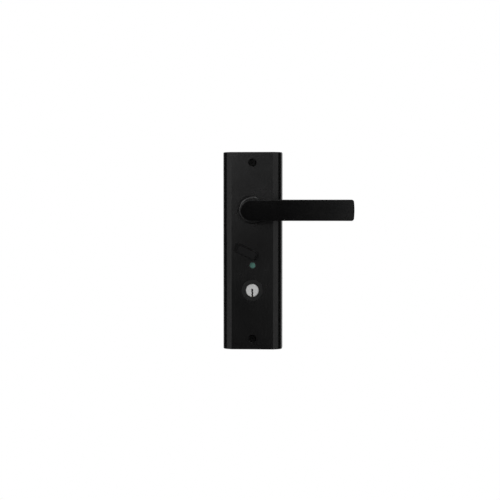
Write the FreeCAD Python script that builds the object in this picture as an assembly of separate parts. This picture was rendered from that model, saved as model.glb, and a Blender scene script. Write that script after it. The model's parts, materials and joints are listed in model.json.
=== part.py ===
import FreeCAD, Part
import math
import os

# Keypad smart lock, inside half: the lever trim that is fixed to the room side of a door.
# Millimetres. The door face is the plane y = 0 and the trim stands out toward -Y.
# +X is to the right seen from the room and +Z is up. The origin is on the lever spindle axis.

Vec = FreeCAD.Vector
AXIS = Vec(0, 1, 0)

# ---------------------------------------------------------------- clearances
running_gap = 0.05        # radial clearance of a shaft turning in its bearing
side_gap = 0.1            # axial clearance beside a turning shoulder
slip_gap = 0.05           # clearance of a square drive in its socket, each side
loose_gap = 0.4           # clearance of a sheet part inside its cover
end_gap = 0.2             # clearance past the end of a screw or a stub

# ---------------------------------------------------------------- cover
cover_width = 69.0
cover_height = 230.0
cover_depth = 25.0        # from the door to the flat front face
spindle_below_top = 67.5
wall = 2.5
front_flat_width = 48.4
facet_angle = 25.0        # of the two long facets against the front face
side_radius = 8.1         # rounds each facet into its side wall
end_fillet = 1.2          # along the top and bottom edges
corner_radius = 1.0

# ---------------------------------------------------------------- sheet parts on the door
gasket_thickness = 1.0
gasket_inset = 0.3
chassis_thickness = 2.0
chassis_corner = 2.0

# ---------------------------------------------------------------- cover screws (M4)
cover_screw_inset = 12.5  # from each end of the cover
recess_radius = 4.35
recess_depth = 5.5
recess_chamfer = 0.5
recess_floor = 1.5
boss_wall = 1.85
cover_screw_radius = 2.0
cover_head_radius = 3.7
cover_head_height = 3.0
cover_hex = 3.0           # across flats
screw_clearance = 0.3
screw_grip = 9.0
pillar_radius = 4.0
spigot_radius = 2.5

# ---------------------------------------------------------------- bolts through the door (M5)
bolt_radius = 2.5
bolt_shoulder = 0.5       # of the neck in the chassis, past the bolt's radius
bolt_clearance = 0.1
bolt_reach = 40.0         # past the door face
bolt_head_radius = 4.75
bolt_head_height = 3.2
bolt_hex = 3.2
bolt_top_z = 34.0
bolt_spacing = 158.0

# ---------------------------------------------------------------- lever and its bearing
collar_gap = 1.5          # dark ring round the collar
collar_recess_depth = 1.6
collar_width = 3.8
collar_height = 3.9       # from the recess floor to its front
collar_edge = 1.5
bush_wall = 1.55
bush_flange_width = 2.4
bush_flange = 1.5
bush_setback = 0.3
neck_radius = 10.5
neck_inner_y = -20.0
neck_flare = 1.3
neck_flare_length = 4.0
lever_front_y = -64.0
lever_thickness = 10.0
lever_height = 24.0
lever_reach = 117.0       # spindle axis to the tip
lever_end_bulge = 0.8
lever_corner = 3.0
lever_edge = 1.2
spindle_square = 8.0
spindle_front_y = -46.0
spindle_reach = 45.0      # past the door face
spindle_chamfer = 0.8
grub_radius = 2.5
grub_y = -36.0
grub_setback = 0.7
grub_hex = 2.5

# ---------------------------------------------------------------- spring cassette
housing_radius = 22.0
housing_wall = 1.2
housing_front_y = -18.5
ear_radius = 4.0
ear_thickness = 1.5
ear_angles = (30.0, 150.0, 270.0)
hub_radius = 9.95
hub_front_y = -19.8
hub_rear_setback = 0.4
hub_shoulder_radius = 12.0
hub_disc_gap = 1.8        # inside the housing wall
hub_disc_thickness = 2.0
hub_disc_front_y = -16.6
lever_travel = 45.0       # degrees
stop_inset = 3.5          # of the stop circle from the disc's edge
stop_radius = 1.5
stop_angle = 195.0
stop_margin = 1.0         # degrees of slot past the travel at each end
peg_inset = 1.7
peg_radius = 1.2
hub_peg_angle = 335.0
fixed_peg_angle = 165.0
clip_groove_depth = 0.75
clip_ring = 2.6
clip_thickness = 0.8
magnet_radius = 2.0
magnet_height = 1.5
magnet_inset = 4.0
spring_inset = 3.9        # of the coil from the peg circle
spring_wire = 0.7
spring_turns = 3          # whole turns
spring_front_y = -12.8
spring_rear_y = -4.2
spring_leg_angle = 60.0   # over which each end leaves the coil
spring_step = 15.0        # degrees between path points
soft_gap = 0.35           # clearance of a sprung part from its neighbours

# ---------------------------------------------------------------- thumb-turn
snib_z = -51.5
snib_angle = 155.0        # of the thumb-turn as built, from +X toward +Z
snib_travel = 50.0        # degrees
snib_width = 9.5
snib_tail = 5.0
snib_length = 22.4        # pivot to tip
snib_slope = 5.3          # length of the sloped tip
snib_tip_height = 0.6
snib_lift = 2.0           # gap between the thumb-turn and the cover
snib_thickness = 7.0
snib_corner = 1.6
snib_edge = 0.6
snib_boss_radius = 4.6
snib_shaft_radius = 3.5
snib_square = 5.0
snib_seat = 5.0           # depth of the shaft in the thumb-turn
snib_reach = 20.0         # past the door face
snib_bush_radius = 5.2
snib_flange_radius = 7.0
snib_flange = 1.5
flag_front_y = -20.6
flag_thickness = 0.8
flag_hub_radius = 6.0
flag_inner = 9.2
flag_outer = 17.0
flag_paint = 0.3
flag_margin = 0.4
flag_half_angle = 21.0
cam_front_y = -14.0
cam_thickness = 4.0
cam_radius = 9.0
cam_notch = 1.1
cam_notch_half_width = 2.0
spacer_radius = 5.5
snib_clip_radius = 5.6
snib_clip_groove = 0.5
rear_bush_radius = 5.5
rear_bush_flange_radius = 7.0
rear_bush_flange = 1.2
leaf_thickness = 0.5
leaf_x = 12.0
leaf_top = 11.0           # above the pivot
leaf_bottom = -10.0
leaf_foot_length = 9.0
leaf_foot_height = 7.0

# ---------------------------------------------------------------- indicator window
window_drop = 12.7        # below the thumb-turn pivot
window_radius = 3.4
bezel_radius = 4.5
bezel_proud = 0.2
bezel_flange_radius = 5.8
bezel_flange = 0.8
lens_setback = 0.4
lens_thickness = 1.8

# ---------------------------------------------------------------- key cylinder
key_z = -93.4
key_collar_width = 2.1    # past the barrel
key_collar_depth = 1.5
key_collar_proud = 0.4
key_collar_bevel = 0.3
barrel_wall = 4.0
barrel_clearance = 0.2
bible_half_width = 4.5
bible_height = 17.0
foot_half_height = 5.0
foot_thickness = 2.0
foot_screw_gap = 0.3      # between a screw head and the barrel
foot_margin = 3.5         # past the screw's axis
plug_head_lip = 1.05
plug_head_proud = 1.4     # in front of the cover face
plug_head_bevel = 0.8
plug_radius = 6.35
plug_neck_radius = 5.0
plug_neck_reach = 0.5
plug_clip_lip = 0.85      # past the plug
plug_hole_gap = 0.6
keyway_depth = 18.0
pin_count = 5
pin_pitch = 3.5
pin_first_y = -20.5
pin_radius = 1.25
pin_hole_gap = 0.05
key_pin_bottom = 2.2      # above the plug axis
driver_length = 4.0
shear_gap = 0.05
cap_thickness = 1.0
cap_half_width = 3.0
pin_spring_wire = 0.2
pin_spring_turns = 4
tail_width = 5.0
tail_thickness = 1.6
tail_seat = 3.5
tail_reach = 40.0

# ---------------------------------------------------------------- circuit board
board_half_width = 29.0
board_bottom_z = 25.0
board_top_z = 63.0
board_front_y = -11.6
board_thickness = 1.6
board_corner = 1.5
driver_hole_radius = 6.5  # lets a key reach the upper bolt
standoff_x = 25.0
standoff_low_z = 29.0
standoff_high_z = 59.5
standoff_radius = 2.5
small_screw_radius = 1.25
small_head_radius = 2.5
small_head_height = 1.6
small_screw_grip = 4.0
slot_x0, slot_x1 = -22.0, -8.0
slot_z0, slot_z1 = 33.0, 42.0
slot_corner = 2.0
grommet_wall = 1.0
grommet_lip = 0.8
grommet_flange = 0.8

# ---------------------------------------------------------------- medium screws (M3)
m3_radius = 1.5
m3_head_radius = 2.8
m3_head_height = 1.8

# ---------------------------------------------------------------- batteries (4 x AAA)
cell_radius = 5.2
cell_length = 43.5
cell_nub_radius = 1.9
cell_nub = 1.0
cell_xs = (12.0, 23.3)
tray_wall = 1.2
tray_side = 0.9
tray_floor = 1.0
tray_inner_length = 47.6
tray_end_gap = 1.5        # above the inside of the cover's lower end
tray_lip_y = -9.0
tray_screw_x = 20.0
tray_ear_radius = 3.6
cell_gap = 0.1
contact_thickness = 0.4
contact_half_width = 3.5
tab_half_width = 1.8
tab_tip = 0.5             # past the cell's axis
tab_flat = 1.5
pad_z0, pad_z1 = -146.0, -120.0
pad_x0, pad_x1 = 7.5, 23.4
lead_radius = 0.6
lead_xs = (28.2, 29.9)
lead_y = -5.5

# ---------------------------------------------------------------- derived places
half_width = cover_width / 2
top_z = spindle_below_top
bottom_z = top_z - cover_height
front_y = -cover_depth
inner_front_y = front_y + wall
rim_y = -gasket_thickness
chassis_front_y = -chassis_thickness
window_z = snib_z - window_drop
bush_radius = neck_radius + running_gap + bush_wall
bush_flange_radius = bush_radius + bush_flange_width
collar_radius = bush_radius + collar_width
collar_recess_radius = collar_radius + collar_gap
ear_circle = housing_radius + ear_radius
hub_disc_radius = housing_radius - housing_wall - hub_disc_gap
stop_circle = hub_disc_radius - stop_inset
peg_circle = hub_disc_radius - peg_inset
magnet_circle = hub_disc_radius - magnet_inset
spring_radius = peg_circle - spring_inset
barrel_radius = plug_radius + running_gap + barrel_wall
key_collar_radius = barrel_radius + key_collar_width
foot_screw_x = barrel_radius + m3_head_radius + foot_screw_gap
foot_half_width = foot_screw_x + foot_margin
plug_head_radius = plug_radius + plug_head_lip
plug_clip_radius = plug_radius + plug_clip_lip
plug_hole_radius = plug_clip_radius + plug_hole_gap
cover_screw_zs = (top_z - cover_screw_inset, bottom_z + cover_screw_inset)
bolt_zs = (bolt_top_z, bolt_top_z - bolt_spacing)
standoffs = [(x, z) for z in (standoff_low_z, standoff_high_z) for x in (-standoff_x, standoff_x)]
ears = [(ear_circle * math.cos(math.radians(a)), ear_circle * math.sin(math.radians(a)))
        for a in ear_angles]
tray_bottom_z = bottom_z + wall + tray_end_gap
tray_top_z = tray_bottom_z + tray_inner_length + 2 * tray_wall
tray_screws = [(-tray_screw_x, tray_top_z + tray_ear_radius / 2), (tray_screw_x, tray_top_z + tray_ear_radius / 2)]
foot_screws = [(-foot_screw_x, key_z), (foot_screw_x, key_z)]
leaf_foot_x = leaf_x + leaf_foot_length / 2 + leaf_thickness
leaf_foot_z = snib_z + leaf_bottom - leaf_foot_height / 2


# ---------------------------------------------------------------- shape helpers
def rod(radius, y0, y1, x=0.0, z=0.0):
    """Round bar along the door axis from y0 to y1."""
    return Part.makeCylinder(radius, y1 - y0, Vec(x, y0, z), AXIS)


def tube(outer, inner, y0, y1, x=0.0, z=0.0):
    """Round sleeve along the door axis."""
    return rod(outer, y0, y1, x, z).cut(rod(inner, y0 - 1, y1 + 1, x, z))


def block(x0, x1, y0, y1, z0, z1):
    """Box between two corners."""
    return Part.makeBox(x1 - x0, y1 - y0, z1 - z0, Vec(x0, y0, z0))


def square_bar(size, y0, y1, x=0.0, z=0.0):
    """Square bar along the door axis."""
    half = size / 2
    return block(x - half, x + half, y0, y1, z - half, z + half)


def hex_bar(across, y0, y1, x=0.0, z=0.0):
    """Hexagonal bar along the door axis."""
    radius = across / math.sqrt(3)
    corners = [(x + radius * math.cos(math.radians(60 * i)), z + radius * math.sin(math.radians(60 * i)))
               for i in range(6)]
    return prism(corners, y0, y1)


def prism(points, y0, y1):
    """Solid with a polygon outline in X and Z, from y0 to y1."""
    corners = [Vec(x, y0, z) for x, z in points]
    face = Part.Face(Part.makePolygon(corners + corners[:1]))
    return face.extrude(Vec(0, y1 - y0, 0))


def polar(radius, angle, y=0.0, x=0.0, z=0.0):
    """Point at a radius and an angle from +X toward +Z round a centre."""
    turn = math.radians(angle)
    return Vec(x + radius * math.cos(turn), y, z + radius * math.sin(turn))


def sector(inner, outer, start, end, y0, y1, x=0.0, z=0.0):
    """Part of a flat ring between two angles."""
    middle = (start + end) / 2
    outer_arc = Part.Arc(polar(outer, start, y0, x, z), polar(outer, middle, y0, x, z), polar(outer, end, y0, x, z))
    inner_arc = Part.Arc(polar(inner, end, y0, x, z), polar(inner, middle, y0, x, z), polar(inner, start, y0, x, z))
    first = Part.makeLine(polar(outer, end, y0, x, z), polar(inner, end, y0, x, z))
    last = Part.makeLine(polar(inner, start, y0, x, z), polar(outer, start, y0, x, z))
    wire = Part.Wire([outer_arc.toShape(), first, inner_arc.toShape(), last])
    return Part.Face(wire).extrude(Vec(0, y1 - y0, 0))


def wire_rod(points, radius):
    """Round wire along a smooth curve through points."""
    curve = Part.BSplineCurve()
    curve.interpolate(points)
    path = Part.Wire([curve.toShape()])
    start = curve.tangent(curve.FirstParameter)[0]
    ring = Part.Wire([Part.makeCircle(radius, points[0], start)])
    return path.makePipeShell([ring], True, False)


def along_y(edge):
    """True for a straight edge along the door axis."""
    if len(edge.Vertexes) != 2:
        return False
    reach = edge.Vertexes[1].Point - edge.Vertexes[0].Point
    return reach.Length > 1e-6 and abs(abs(reach.y) - reach.Length) < 1e-6


def round_upright(shape, radius):
    """Round every straight edge that runs along the door axis."""
    return shape.makeFillet(radius, [e for e in shape.Edges if along_y(e)])


def edges_at(shape, y):
    """Edges lying wholly in one plane across the door axis."""
    return [e for e in shape.Edges if all(abs(v.Point.y - y) < 1e-6 for v in e.Vertexes)
            and abs(e.BoundBox.YLength) < 1e-4]


def fuse(first, *others):
    """Join solids into one clean solid."""
    return first.multiFuse(list(others)).removeSplitter()


def cap_screw(radius, head_radius, head_height, hexagon, head_y, length, x, z):
    """Screw with a round head in front of head_y and a hexagon socket."""
    head = rod(head_radius, head_y - head_height, head_y, x, z)
    head = head.makeChamfer(head_height * 0.15, edges_at(head, head_y - head_height))
    shank = rod(radius, head_y, head_y + length, x, z)
    socket = hex_bar(hexagon, head_y - head_height - 1, head_y - head_height * 0.4, x, z)
    return fuse(head, shank).cut(socket)


def cross_screw(radius, head_radius, head_height, head_y, length, x, z):
    """Pan-head screw with a cross recess in front of head_y."""
    head = rod(head_radius, head_y - head_height, head_y, x, z)
    head = head.makeFillet(head_height * 0.4, edges_at(head, head_y - head_height))
    shank = rod(radius, head_y, head_y + length, x, z)
    arm = head_radius * 0.6
    slot = head_radius * 0.13
    floor_y = head_y - head_height * 0.45
    recess = block(x - arm, x + arm, head_y - head_height - 1, floor_y, z - slot, z + slot)
    recess = recess.fuse(block(x - slot, x + slot, head_y - head_height - 1, floor_y, z - arm, z + arm))
    return fuse(head, shank).cut(recess)


def copies(make, places):
    """One compound of the same piece at several places."""
    return Part.makeCompound([make(x, z) for x, z in places])


parts = {}


# ---------------------------------------------------------------- cover, gasket and chassis
def cover_section(inset, z):
    """Closed outline of the cover in X and Y, moved inward by inset."""
    tilt = math.radians(facet_angle)
    arc_x = half_width - side_radius
    radius = side_radius - inset
    facet_x = arc_x + radius * math.sin(tilt)
    flat_x = front_flat_width / 2 - inset * math.tan(tilt / 2)
    outer_facet_x = arc_x + side_radius * math.sin(tilt)
    facet_depth = (outer_facet_x - front_flat_width / 2) * math.tan(tilt)
    arc_y = front_y + facet_depth + side_radius * math.cos(tilt)
    middle = math.radians((90 - facet_angle) / 2)

    def right(sign):
        side = Vec(sign * (arc_x + radius), arc_y, z)
        bend = Vec(sign * (arc_x + radius * math.cos(middle)), arc_y - radius * math.sin(middle), z)
        facet = Vec(sign * facet_x, arc_y - radius * math.cos(tilt), z)
        flat = Vec(sign * flat_x, front_y + inset, z)
        rim = Vec(sign * (arc_x + radius), rim_y, z)
        return rim, side, bend, facet, flat

    rim_r, side_r, bend_r, facet_r, flat_r = right(1)
    rim_l, side_l, bend_l, facet_l, flat_l = right(-1)
    return Part.Wire([
        Part.makeLine(rim_r, side_r),
        Part.Arc(side_r, bend_r, facet_r).toShape(),
        Part.makeLine(facet_r, flat_r),
        Part.makeLine(flat_r, flat_l),
        Part.makeLine(flat_l, facet_l),
        Part.Arc(facet_l, bend_l, side_l).toShape(),
        Part.makeLine(side_l, rim_l),
        Part.makeLine(rim_l, rim_r),
    ])


def cover_solid(inset):
    """Solid inside the cover outline, moved inward by inset on the front, sides and ends."""
    base = Part.Face(cover_section(inset, bottom_z + inset))
    return base.extrude(Vec(0, 0, cover_height - 2 * inset))


def end_edges(shape):
    """Edges round the two end faces, without the rim on the door side."""
    found = []
    for edge in shape.Edges:
        box = edge.BoundBox
        flat = box.ZLength < 1e-4 and min(abs(box.ZMin - bottom_z), abs(box.ZMax - top_z)) < 1e-4
        if flat and box.YMin < rim_y - 1e-3:
            found.append(edge)
    return found


cover = cover_solid(0.0)
cover = cover.makeFillet(end_fillet, end_edges(cover))
cover = cover.cut(cover_solid(wall))
boss_inner_y = front_y + recess_depth + recess_floor
for screw_z in cover_screw_zs:
    boss = rod(recess_radius + boss_wall, inner_front_y - wall / 2, boss_inner_y, 0, screw_z)
    recess = rod(recess_radius, front_y - 1, front_y + recess_depth, 0, screw_z)
    mouth = Part.makeCone(recess_radius + recess_chamfer, recess_radius, recess_chamfer, Vec(0, front_y, screw_z), AXIS)
    through = rod(cover_screw_radius + screw_clearance, front_y, boss_inner_y + 1, 0, screw_z)
    cover = cover.fuse(boss).cut(recess).cut(mouth).cut(through)
cover = cover.cut(rod(collar_recess_radius, front_y - 1, front_y + collar_recess_depth))
cover = cover.cut(rod(bush_radius, front_y - 1, inner_front_y + 1))
cover = cover.cut(rod(snib_bush_radius, front_y - 1, inner_front_y + 1, 0, snib_z))
cover = cover.cut(rod(bezel_radius, front_y - 1, inner_front_y + 1, 0, window_z))
cover = cover.cut(rod(key_collar_radius, front_y - 1, front_y + key_collar_depth, 0, key_z))
cover = cover.cut(rod(barrel_radius + barrel_clearance, front_y - 1, inner_front_y + 1, 0, key_z))
parts["cover"] = cover.removeSplitter()

gasket = block(-half_width + gasket_inset, half_width - gasket_inset, rim_y, 0,
               bottom_z + gasket_inset, top_z - gasket_inset)
gasket = round_upright(gasket, corner_radius)
parts["door_gasket"] = gasket.cut(block(-half_width + wall, half_width - wall, rim_y - 1, 1, bottom_z + wall, top_z - wall))

chassis_half = half_width - wall - loose_gap
chassis = block(-chassis_half, chassis_half, chassis_front_y, 0,
                bottom_z + wall + loose_gap, top_z - wall - loose_gap)
chassis = round_upright(chassis, chassis_corner)
slot = round_upright(block(slot_x0, slot_x1, chassis_front_y - 1, 1, slot_z0, slot_z1), slot_corner)
chassis_holes = [slot]
chassis_holes.append(rod(hub_radius + running_gap, chassis_front_y - 1, 1))
chassis_holes.append(rod(rear_bush_radius, chassis_front_y - 1, 1, 0, snib_z))
chassis_holes.append(rod(plug_hole_radius, chassis_front_y - 1, 1, 0, key_z))
chassis_holes += [rod(spigot_radius, chassis_front_y - 1, 1, 0, z) for z in cover_screw_zs]
chassis_holes += [rod(bolt_radius + bolt_shoulder + bolt_clearance, chassis_front_y - 1, 1, 0, z) for z in bolt_zs]
chassis_holes += [rod(small_screw_radius, chassis_front_y - 1, 1, x, z) for x, z in standoffs]
chassis_holes += [rod(m3_radius, chassis_front_y - 1, 1, x, z) for x, z in ears + foot_screws + tray_screws]
chassis_holes.append(rod(small_screw_radius, chassis_front_y - 1, 1, leaf_foot_x, leaf_foot_z))
for hole in chassis_holes:
    chassis = chassis.cut(hole)
parts["chassis"] = chassis


def cover_pillar(x, z):
    """Riveted post that takes a cover screw."""
    post = rod(pillar_radius, boss_inner_y, chassis_front_y, x, z)
    spigot = rod(spigot_radius, chassis_front_y, -end_gap, x, z)
    bore = rod(cover_screw_radius, boss_inner_y - 1, boss_inner_y + screw_grip + end_gap, x, z)
    return fuse(post, spigot).cut(bore)


def cover_screw(x, z):
    """Countersunk-depth M4 screw in a cover recess."""
    length = recess_floor + screw_grip
    return cap_screw(cover_screw_radius, cover_head_radius, cover_head_height, cover_hex,
                     front_y + recess_depth, length, x, z)


def through_bolt(x, z):
    """M5 bolt that clamps the trim to the outer half through the door."""
    bolt = cap_screw(bolt_radius, bolt_head_radius, bolt_head_height, bolt_hex,
                     chassis_front_y, bolt_reach + chassis_thickness, x, z)
    return fuse(bolt, rod(bolt_radius + bolt_shoulder, chassis_front_y, 0, x, z))


cover_screw_places = [(0, z) for z in cover_screw_zs]
parts["cover_pillars"] = copies(cover_pillar, cover_screw_places)
parts["cover_screws"] = copies(cover_screw, cover_screw_places)
parts["through_bolts"] = copies(through_bolt, [(0, z) for z in bolt_zs])

grommet = round_upright(block(slot_x0, slot_x1, chassis_front_y, -end_gap, slot_z0, slot_z1), slot_corner)
lip = block(slot_x0 - grommet_lip, slot_x1 + grommet_lip, chassis_front_y - grommet_flange, chassis_front_y,
            slot_z0 - grommet_lip, slot_z1 + grommet_lip)
grommet = fuse(grommet, round_upright(lip, slot_corner))
inside = block(slot_x0 + grommet_wall, slot_x1 - grommet_wall, chassis_front_y - grommet_flange - 1, 1,
               slot_z0 + grommet_wall, slot_z1 - grommet_wall)
parts["cable_grommet"] = grommet.cut(round_upright(inside, slot_corner - grommet_wall))

# ---------------------------------------------------------------- lever bearing and lever
collar_seat_y = front_y + collar_recess_depth
collar_front_y = collar_seat_y - collar_height
collar = rod(collar_radius, collar_front_y, collar_seat_y)
collar = collar.makeFillet(collar_edge, edges_at(collar, collar_front_y))
parts["lever_collar"] = collar.cut(rod(bush_radius, collar_front_y - 1, collar_seat_y + 1))

bush = rod(bush_radius, collar_front_y + bush_setback, inner_front_y)
bush = fuse(bush, rod(bush_flange_radius, inner_front_y, inner_front_y + bush_flange))
parts["lever_bush"] = bush.cut(rod(neck_radius + running_gap, collar_front_y - 1, 0))

lever_back_y = lever_front_y + lever_thickness
lever_half = lever_height / 2
lever_end_x = lever_reach - lever_end_bulge


def lever_outline(y):
    """Closed lever outline: round at the spindle, straight along, slightly bowed at the tip."""
    top_left = Vec(0, y, lever_half)
    bottom_left = Vec(0, y, -lever_half)
    top_right = Vec(lever_end_x, y, lever_half)
    bottom_right = Vec(lever_end_x, y, -lever_half)
    return Part.Wire([
        Part.makeLine(top_left, top_right),
        Part.Arc(top_right, Vec(lever_reach, y, 0), bottom_right).toShape(),
        Part.makeLine(bottom_right, bottom_left),
        Part.Arc(bottom_left, Vec(-lever_half, y, 0), top_left).toShape(),
    ])


bar = Part.Face(lever_outline(lever_front_y)).extrude(Vec(0, lever_thickness, 0))
tip_edges = [e for e in bar.Edges if along_y(e) and e.BoundBox.XMin > lever_end_x - 1]
bar = bar.makeFillet(lever_corner, tip_edges)
bar = bar.makeFillet(lever_edge, edges_at(bar, lever_front_y) + edges_at(bar, lever_back_y))
neck = rod(neck_radius, lever_back_y - lever_thickness / 2, neck_inner_y)
flare = Part.makeCone(neck_radius + neck_flare, neck_radius, neck_flare_length, Vec(0, lever_back_y, 0), AXIS)
lever = fuse(bar, neck, flare)
socket_size = spindle_square + 2 * slip_gap
lever = lever.cut(square_bar(socket_size, spindle_front_y - end_gap, neck_inner_y + 1))
grub_hole = Part.makeCylinder(grub_radius, neck_radius, Vec(0, grub_y, 0), Vec(0, 0, -1))
parts["lever"] = lever.cut(grub_hole)

grub_length = neck_radius - grub_setback - spindle_square / 2
grub = Part.makeCylinder(grub_radius, grub_length, Vec(0, grub_y, -spindle_square / 2), Vec(0, 0, -1))
grub_socket = hex_bar(grub_hex, 0, grub_length)
grub_socket.rotate(Vec(0, 0, 0), Vec(1, 0, 0), -90)
grub_socket.translate(Vec(0, grub_y, -spindle_square / 2 - grub_length / 2))
parts["grub_screw"] = grub.cut(grub_socket)

spindle = square_bar(spindle_square, spindle_front_y, spindle_reach)
parts["spindle"] = spindle.makeChamfer(spindle_chamfer, edges_at(spindle, spindle_reach))

# ---------------------------------------------------------------- spring cassette
housing = rod(housing_radius, housing_front_y, chassis_front_y)
housing_inner_y = housing_front_y + housing_wall
for angle, (ear_x, ear_z) in zip(ear_angles, ears):
    ear = rod(ear_radius, chassis_front_y - ear_thickness, chassis_front_y, ear_x, ear_z)
    link = block(housing_radius - 3, ear_circle, chassis_front_y - ear_thickness, chassis_front_y, -ear_radius, ear_radius)
    link.rotate(Vec(0, 0, 0), AXIS, -angle)
    housing = housing.fuse(link.fuse(ear))
housing = housing.cut(rod(housing_radius - housing_wall, housing_inner_y, 1))
housing = housing.cut(rod(hub_radius + running_gap, housing_front_y - 1, 0))
for ear_x, ear_z in ears:
    housing = housing.cut(rod(m3_radius, chassis_front_y - ear_thickness - 1, 1, ear_x, ear_z))
    head_room = rod(m3_head_radius + side_gap, housing_front_y - 1, chassis_front_y - ear_thickness, ear_x, ear_z)
    housing = housing.cut(head_room)
stop_at = polar(stop_circle, stop_angle)
stop_pin_inner_y = hub_disc_front_y + hub_disc_thickness + side_gap
stop_pin = rod(stop_radius, housing_inner_y, stop_pin_inner_y, stop_at.x, stop_at.z)
parts["spring_housing"] = fuse(housing, stop_pin)

fixed_peg_at = polar(peg_circle, fixed_peg_angle)
fixed_peg = rod(peg_radius, spring_front_y - spring_wire, chassis_front_y + side_gap, fixed_peg_at.x, fixed_peg_at.z)
parts["chassis"] = fuse(parts["chassis"], fixed_peg)


def m3_screw(x, z, seat_y):
    """M3 pan-head screw into the chassis."""
    return cross_screw(m3_radius, m3_head_radius, m3_head_height, seat_y, -end_gap - seat_y, x, z)


parts["cassette_screws"] = copies(lambda x, z: m3_screw(x, z, chassis_front_y - ear_thickness), ears)

hub = rod(hub_radius, hub_front_y, -hub_rear_setback)
shoulder = rod(hub_shoulder_radius, housing_inner_y + side_gap, hub_disc_front_y)
disc_rear_y = hub_disc_front_y + hub_disc_thickness
disc = rod(hub_disc_radius, hub_disc_front_y, disc_rear_y)
slot_play = math.degrees(stop_radius / stop_circle) + stop_margin
slot_gap = stop_radius + side_gap
disc = disc.cut(sector(stop_circle - slot_gap, stop_circle + slot_gap, stop_angle - slot_play,
                       stop_angle + lever_travel + slot_play, hub_disc_front_y - 1, disc_rear_y + 1))
hub_peg_at = polar(peg_circle, hub_peg_angle)
hub_peg = rod(peg_radius, disc_rear_y, spring_rear_y, hub_peg_at.x, hub_peg_at.z)
hub = fuse(hub, shoulder, disc, hub_peg)
hub = hub.cut(square_bar(socket_size, hub_front_y - 1, 1))
groove_y = housing_front_y - side_gap - clip_thickness
groove = tube(hub_radius + 1, hub_radius - clip_groove_depth, groove_y, groove_y + clip_thickness)
hub = hub.cut(groove)
magnet_at = polar(magnet_circle, 90)
hub_magnet = rod(magnet_radius, hub_disc_front_y, hub_disc_front_y + magnet_height, magnet_at.x, magnet_at.z)
parts["lever_hub"] = hub.cut(hub_magnet)
parts["hub_magnet"] = hub_magnet


def open_clip(outer, inner, y0, thickness, opening, x=0.0, z=0.0):
    """Spring clip in a groove: a flat ring with a gap at the bottom."""
    ring = tube(outer, inner, y0, y0 + thickness, x, z)
    return ring.cut(block(x - opening / 2, x + opening / 2, y0 - 1, y0 + thickness + 1, z - outer - 1, z))


clip_inner = hub_radius - clip_groove_depth
parts["hub_clip"] = open_clip(clip_inner + clip_ring, clip_inner, groove_y, clip_thickness, clip_inner)

peg_reach = math.degrees((peg_radius + soft_gap) / peg_circle)
spring_start = fixed_peg_angle + peg_reach
spring_end = hub_peg_angle - peg_reach + 360 * spring_turns
point_count = int((spring_end - spring_start) / spring_step)
spring_points = []
for i in range(point_count + 1):
    part_way = i / point_count
    angle = spring_start + (spring_end - spring_start) * part_way
    from_end = min(angle - spring_start, spring_end - angle)
    flare_out = max(0.0, 1 - from_end / spring_leg_angle) ** 2
    radius = spring_radius + (peg_circle - spring_radius) * flare_out
    spring_points.append(polar(radius, angle, spring_rear_y + (spring_front_y - spring_rear_y) * part_way))
parts["return_spring"] = wire_rod(spring_points, spring_wire)

# ---------------------------------------------------------------- thumb-turn and its shaft
snib_back_y = front_y - snib_lift
snib_front_y = snib_back_y - snib_thickness
snib_half = snib_width / 2
tip_edge_y = snib_back_y - snib_tip_height
knob = block(-snib_tail, snib_length, snib_front_y, snib_back_y, -snib_half, snib_half)
knob = round_upright(knob, snib_corner)
slope_x = snib_length - snib_slope
slope_run = snib_slope + 2.0
slope_rise = (tip_edge_y - snib_front_y) * slope_run / snib_slope
slope_corners = [Vec(slope_x, snib_front_y, -snib_width), Vec(slope_x + slope_run, snib_front_y + slope_rise, -snib_width),
                 Vec(slope_x + slope_run, snib_front_y, -snib_width)]
slope_face = Part.Face(Part.makePolygon(slope_corners + slope_corners[:1]))
knob = knob.cut(slope_face.extrude(Vec(0, 0, 2 * snib_width)))
knob_rim = [e for e in edges_at(knob, snib_front_y) if e.BoundBox.XMin < slope_x - 0.1]
knob = knob.makeChamfer(snib_edge, knob_rim)
knob = fuse(knob, rod(snib_boss_radius, snib_back_y, front_y - side_gap))
knob = knob.cut(rod(snib_shaft_radius, snib_back_y - snib_seat, 0))
knob.rotate(Vec(0, 0, 0), AXIS, -snib_angle)
knob.translate(Vec(0, 0, snib_z))
parts["thumb_turn"] = knob

snib_bush_inner_y = inner_front_y + snib_flange
snib_bush = fuse(rod(snib_bush_radius, front_y, inner_front_y, 0, snib_z),
                 rod(snib_flange_radius, inner_front_y, snib_bush_inner_y, 0, snib_z))
parts["thumb_turn_bush"] = snib_bush.cut(rod(snib_shaft_radius + running_gap, front_y - 1, 0, 0, snib_z))

round_shaft = rod(snib_shaft_radius, snib_back_y - snib_seat, snib_reach, 0, snib_z)
square_start_y = flag_front_y - flag_paint
flats = square_bar(snib_square, square_start_y, snib_reach + 1, 0, snib_z)
shaft = round_shaft.common(fuse(rod(snib_shaft_radius + 1, snib_back_y - snib_seat - 1, square_start_y, 0, snib_z), flats))
cam_rear_y = cam_front_y + cam_thickness
snib_groove_radius = snib_shaft_radius - snib_clip_groove
clip_y = cam_rear_y + side_gap
snib_groove = tube(snib_shaft_radius + 1, snib_groove_radius, clip_y, clip_y + clip_thickness, 0, snib_z)
parts["thumb_turn_shaft"] = shaft.cut(snib_groove)
parts["thumb_turn_clip"] = open_clip(snib_clip_radius, snib_groove_radius, clip_y, clip_thickness,
                                     snib_groove_radius, 0, snib_z)

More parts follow.
